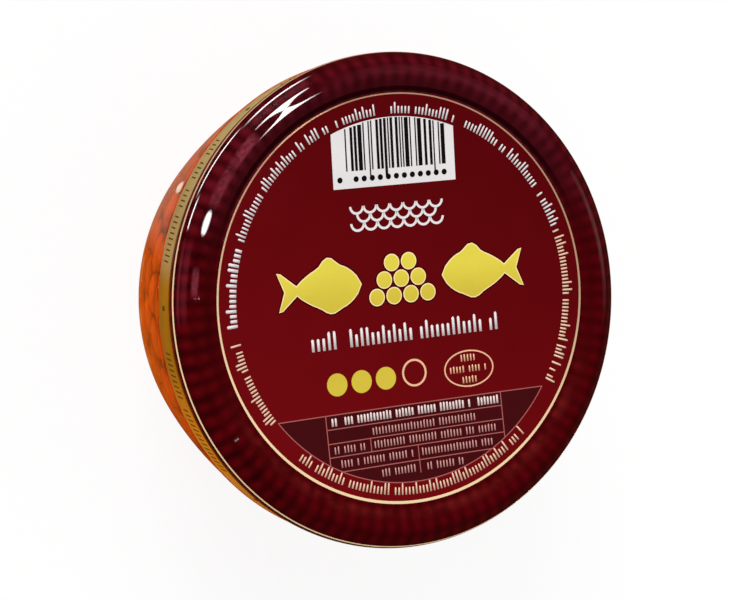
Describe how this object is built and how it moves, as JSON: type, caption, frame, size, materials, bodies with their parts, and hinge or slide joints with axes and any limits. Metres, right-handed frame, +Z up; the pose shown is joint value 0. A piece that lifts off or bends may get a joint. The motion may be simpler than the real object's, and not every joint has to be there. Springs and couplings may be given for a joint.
{
  "type": "jar of salmon roe",
  "caption": "Squat, tapering clear glass jar of orange salmon roe, sealed with a wide pressed metal lid and ringed by a narrow gold band.",
  "frame": {"origin": "centre of the base, on the surface that the jar stands on", "axes": "+Z up along the jar's axis, +Y towards the top of the lid's print"},
  "size_m": [0.0852, 0.0852, 0.04],
  "materials": {
    "lid_enamel": "gloss lacquered tinplate, burgundy with a dark check round the edge",
    "clear_glass": "clear moulded container glass",
    "gold_paper": "satin gold coated paper strip",
    "roe": "wet, shiny, translucent orange eggs"
  },
  "bodies": {
    "root": {"lid": "lid_enamel", "glass_jar": "clear_glass", "gold_band": "gold_paper", "roe": "roe"}
  },
  "joints": []
}
